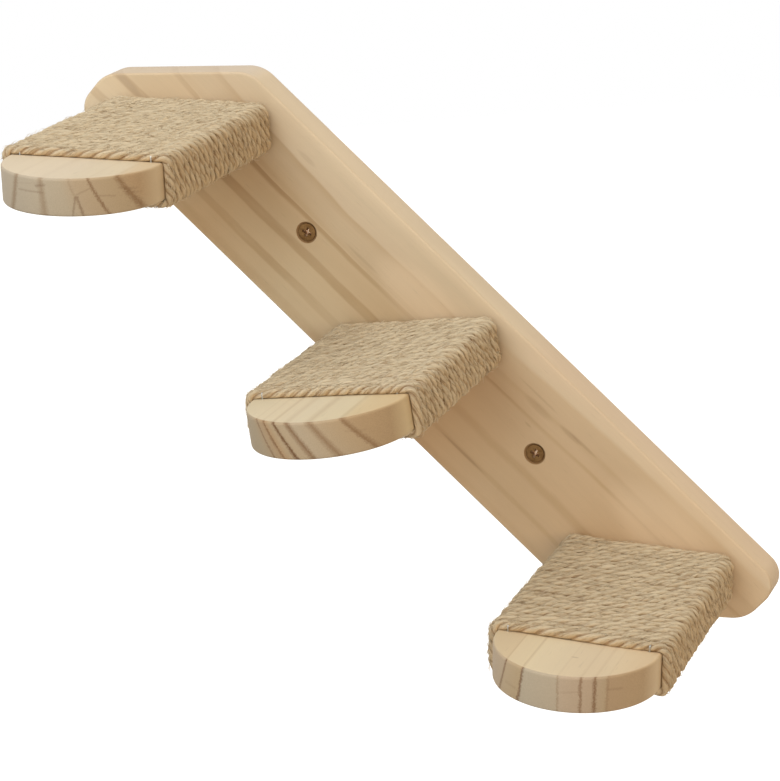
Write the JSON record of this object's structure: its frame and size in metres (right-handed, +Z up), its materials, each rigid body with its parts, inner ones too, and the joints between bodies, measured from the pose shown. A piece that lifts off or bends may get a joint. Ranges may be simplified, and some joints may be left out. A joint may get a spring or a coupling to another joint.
{
  "type": "cat ladder",
  "caption": "Wall-mounted cat ladder: a sloping pine back board with round-nosed steps wound in jute rope.",
  "frame": {"origin": "middle of the board's flat back face, midway between the two wall screws", "axes": "+Y into the wall, square to the board's back face; +Z up; +X to the right seen from the front, so the steps stand out towards -Y and climb to the left"},
  "size_m": [0.3522, 0.2114, 0.28],
  "materials": {
    "pine": "planed and sanded, unvarnished",
    "jute": "twisted natural rope, fibrous",
    "bronzed_steel": "bronze-brown plating, satin",
    "zinc_steel": "bright zinc plating"
  },
  "bodies": {
    "root": {"back_board": "pine", "upper_step": "pine", "middle_step": "pine", "lower_step": "pine", "upper_rope": "jute", "middle_rope": "jute", "lower_rope": "jute", "upper_step_screw_left": "zinc_steel", "upper_step_screw_right": "zinc_steel", "middle_step_screw_left": "zinc_steel", "middle_step_screw_right": "zinc_steel", "lower_step_screw_left": "zinc_steel", "lower_step_screw_right": "zinc_steel", "upper_staple_tip_left": "zinc_steel", "upper_staple_tip_right": "zinc_steel", "upper_staple_tail_start": "zinc_steel", "upper_staple_tail_end": "zinc_steel", "middle_staple_tip_left": "zinc_steel", "middle_staple_tip_right": "zinc_steel", "middle_staple_tail_start": "zinc_steel", "middle_staple_tail_end": "zinc_steel", "lower_staple_tip_left": "zinc_steel", "lower_staple_tip_right": "zinc_steel", "lower_staple_tail_start": "zinc_steel", "lower_staple_tail_end": "zinc_steel", "upper_wall_screw": "bronzed_steel", "lower_wall_screw": "bronzed_steel"}
  },
  "joints": []
}
